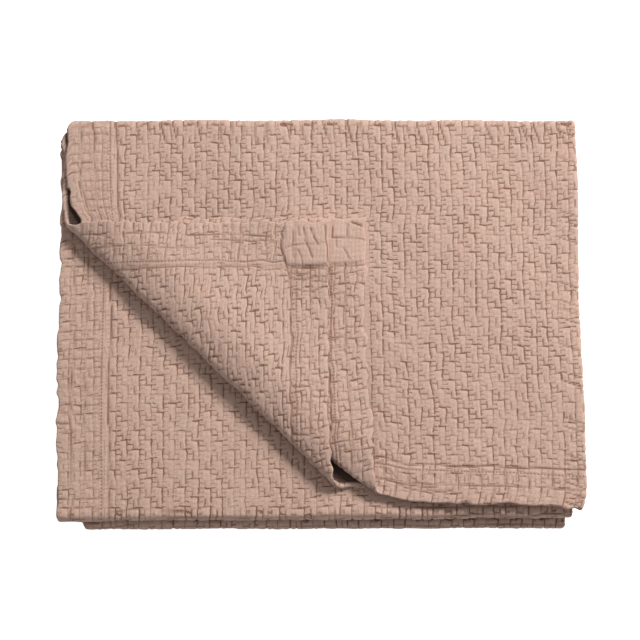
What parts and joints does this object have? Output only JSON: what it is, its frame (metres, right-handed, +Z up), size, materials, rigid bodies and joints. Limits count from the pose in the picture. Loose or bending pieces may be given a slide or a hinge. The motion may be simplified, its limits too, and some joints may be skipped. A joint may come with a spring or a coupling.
{
  "type": "folded bedspread",
  "caption": "Puffed basket-weave cotton bedspread, doubled, laid in a flat back-and-forth stack, with its top front corner turned back along a diagonal.",
  "frame": {"origin": "under the middle of the folded stack, on the surface it rests on", "axes": "+X to the right along the folded width, the doubling fold being at +X and the hems at -X; +Y to the back; +Z up, out of the top panel"},
  "size_m": [0.6288, 0.4988, 0.0708],
  "materials": {
    "puffed_cotton": "matt, soft, puffed basket-weave double cloth in dusty pink-beige cotton, with turned and stitched hems"
  },
  "bodies": {
    "root": {"folded_bedspread": "puffed_cotton"}
  },
  "joints": []
}
